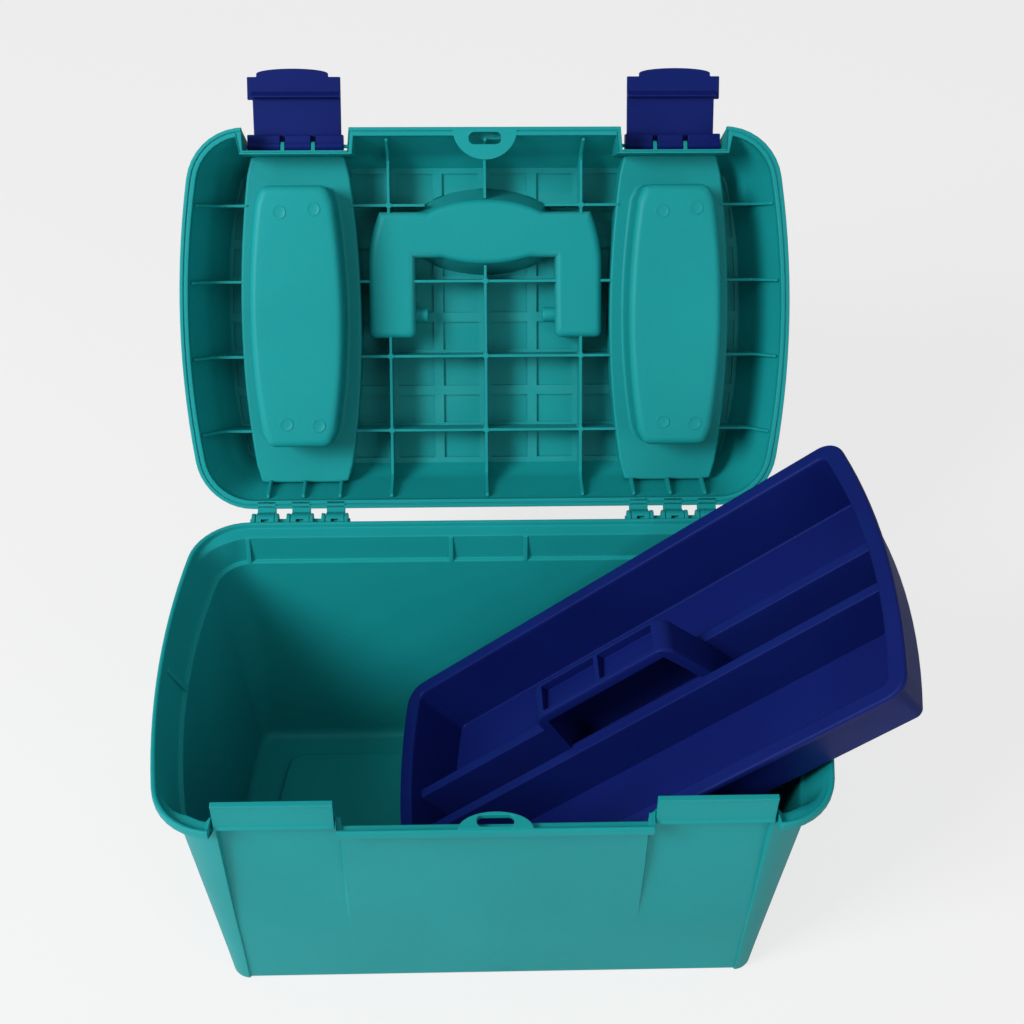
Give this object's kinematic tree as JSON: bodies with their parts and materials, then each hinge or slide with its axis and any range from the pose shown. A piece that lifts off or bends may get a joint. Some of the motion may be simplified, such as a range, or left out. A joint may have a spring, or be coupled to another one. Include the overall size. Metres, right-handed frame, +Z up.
{
  "type": "grooming box",
  "caption": "Tapered plastic grooming box with a ribbed hinged lid held open, swing latches, fold-down handle, lidded lid pockets and a lift-out tray leaning in the tub",
  "frame": {"origin": "middle of the tub's foot, on the table", "axes": "+Z up, +X to the right of someone facing the latches, the latches face -Y and the hinge is at +Y"},
  "size_m": [0.4434, 0.4541, 0.4027],
  "materials": {
    "teal_plastic": "satin moulded",
    "blue_plastic": "satin moulded"
  },
  "bodies": {
    "box": {"tub": "teal_plastic", "hinge_pin_left": "teal_plastic", "hinge_pin_right": "teal_plastic"},
    "lid": {"lid": "teal_plastic", "latch_pin_left": "teal_plastic", "latch_pin_right": "teal_plastic", "handle_pin_left": "blue_plastic", "handle_pin_right": "blue_plastic", "cover_pin_left": "blue_plastic", "cover_pin_right": "blue_plastic"},
    "tray": {"tray": "blue_plastic"},
    "latch_left": {"latch_left": "blue_plastic"},
    "latch_right": {"latch_right": "blue_plastic"},
    "handle": {"carry_handle": "blue_plastic"},
    "cover_left": {"pocket_cover_left": "blue_plastic"},
    "cover_right": {"pocket_cover_right": "blue_plastic"}
  },
  "joints": [
    {"name": "lid_hinge", "type": "hinge", "parent": "box", "child": "lid", "pos_m": [0, 0.1314, 0.1795], "axis": [1, 0, 0], "range_deg": [0, 124.1]},
    {"name": "latch_left_swing", "type": "hinge", "parent": "lid", "child": "latch_left", "pos_m": [-0.1225, 0.29462, 0.36438], "axis": [1, 0, 0], "range_deg": [0, 90]},
    {"name": "latch_right_swing", "type": "hinge", "parent": "lid", "child": "latch_right", "pos_m": [0.1225, 0.29462, 0.36438], "axis": [1, 0, 0], "range_deg": [0, 90]},
    {"name": "handle_fold", "type": "hinge", "parent": "lid", "child": "handle", "pos_m": [0, 0.24552, 0.26333], "axis": [1, 0, 0], "range_deg": [-90, 0]},
    {"name": "cover_left_hinge", "type": "hinge", "parent": "lid", "child": "cover_left", "pos_m": [-0.1233, 0.19913, 0.17519], "axis": [1, 0, 0], "range_deg": [-95, 0]},
    {"name": "cover_right_hinge", "type": "hinge", "parent": "lid", "child": "cover_right", "pos_m": [0.1233, 0.19913, 0.17519], "axis": [1, 0, 0], "range_deg": [-95, 0]},
    {"name": "tray_draw", "type": "slide", "parent": "box", "child": "tray", "axis": [0.7607, 0.008, 0.6491], "range_m": [0, 0.72]}
  ],
  "couplings": [
    {"joint": "tray_draw", "follows": "lid_hinge", "m_per_rad": 0.33241}
  ]
}
